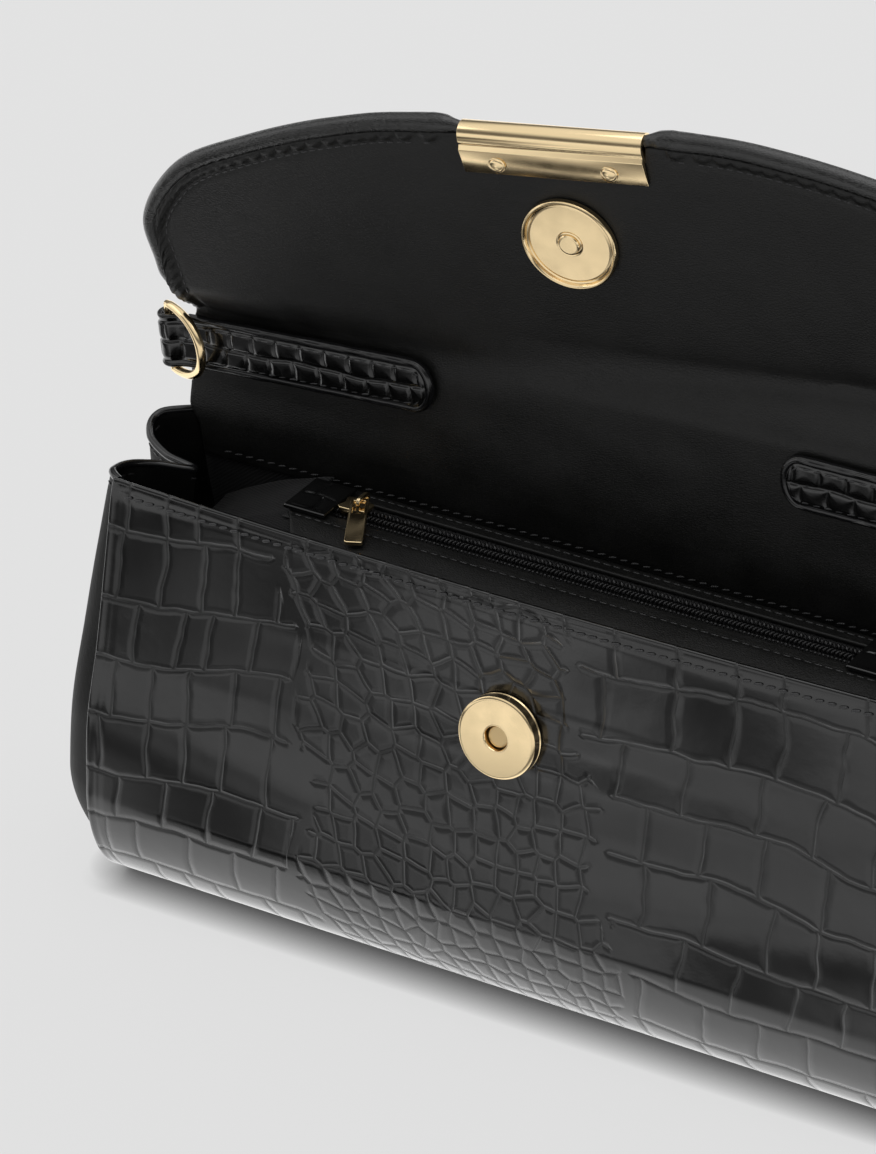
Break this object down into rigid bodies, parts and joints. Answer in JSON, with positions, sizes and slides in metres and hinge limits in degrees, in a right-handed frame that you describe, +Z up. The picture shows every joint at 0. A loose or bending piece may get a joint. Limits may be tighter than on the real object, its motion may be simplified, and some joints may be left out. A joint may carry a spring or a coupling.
{
  "type": "clutch bag",
  "caption": "Clutch bag with gusseted sides, a flap that folds over the mouth and down the front to a magnetic snap, a recessed zip and D-rings on strap tabs.",
  "frame": {"origin": "centre of the flat base, where the bag stands", "axes": "+X along the width to the right as seen from the front, -Y out of the front panel, +Z up"},
  "size_m": [0.2571, 0.076, 0.2228],
  "materials": {
    "croc_leather": "glossy, embossed",
    "smooth_leather": "satin, fine grain",
    "twill": "matte weave",
    "zip_nylon": "satin",
    "board": "matte",
    "gold_metal": "polished pale gold",
    "steel": "satin",
    "magnet": "matte"
  },
  "bodies": {
    "bag_body": {"front_panel": "croc_leather", "back_panel": "croc_leather", "front_board": "board", "back_board": "board", "base_board": "board", "gusset_left": "smooth_leather", "gusset_right": "smooth_leather", "lining_front": "twill", "lining_back": "twill", "back_facing": "smooth_leather", "zip_facing_front": "smooth_leather", "zip_facing_back": "smooth_leather", "zip_tape_front": "zip_nylon", "zip_tape_back": "zip_nylon", "zip_coil_front": "zip_nylon", "zip_coil_back": "zip_nylon", "zip_tab_left": "smooth_leather", "zip_tab_right": "smooth_leather", "snap_cup": "gold_metal", "snap_magnet": "magnet", "snap_core": "gold_metal", "snap_washer": "steel", "spine_fold": "croc_leather"},
    "flap_spine": {"spine_outer": "croc_leather", "spine_board": "board", "spine_lining": "smooth_leather", "crease_outer": "croc_leather", "crease_lining": "smooth_leather", "strap_tab_left": "croc_leather", "strap_tab_right": "croc_leather"},
    "flap_front": {"flap_outer": "croc_leather", "flap_board": "board", "flap_lining": "smooth_leather", "flap_roll_left": "smooth_leather", "flap_roll_right": "smooth_leather", "edge_bar": "gold_metal", "bar_rivet_left": "gold_metal", "bar_rivet_right": "gold_metal", "stud_dish": "gold_metal", "stud_nub": "gold_metal", "stud_washer": "steel"},
    "ring_left": {"d_ring_left": "gold_metal"},
    "ring_right": {"d_ring_right": "gold_metal"},
    "slider": {"zip_slider": "gold_metal"},
    "pull": {"zip_pull": "gold_metal"}
  },
  "joints": [
    {"name": "spine_hinge", "type": "hinge", "parent": "bag_body", "child": "flap_spine", "pos_m": [0, 0.0204, 0.1172], "axis": [1, 0, 0], "range_deg": [-110, 80], "deforming": ["spine_fold"]},
    {"name": "crease_hinge", "type": "hinge", "parent": "flap_spine", "child": "flap_front", "pos_m": [0, 0.00758, 0.14871], "axis": [0.9935, 0.1112, 0.0233], "range_deg": [-20, 82.6], "deforming": ["crease_outer", "crease_lining"]},
    {"name": "ring_left_swing", "type": "hinge", "parent": "flap_spine", "child": "ring_left", "pos_m": [-0.1192, 0.01633, 0.13124], "axis": [0.0715, 0.0435, -0.9965], "range_deg": [-5, 130]},
    {"name": "ring_right_swing", "type": "hinge", "parent": "flap_spine", "child": "ring_right", "pos_m": [0.1257, 0.01597, 0.13963], "axis": [-0.014, -0.0436, 0.999], "range_deg": [-5, 130]},
    {"name": "zip_slide", "type": "slide", "parent": "bag_body", "child": "slider", "axis": [1, 0, 0], "range_m": [0, 0.1295]},
    {"name": "pull_swing", "type": "hinge", "parent": "slider", "child": "pull", "pos_m": [-0.05792, 0.00448, 0.1075], "axis": [0.9063, 0.4226, 0], "range_deg": [-95, 0]}
  ]
}
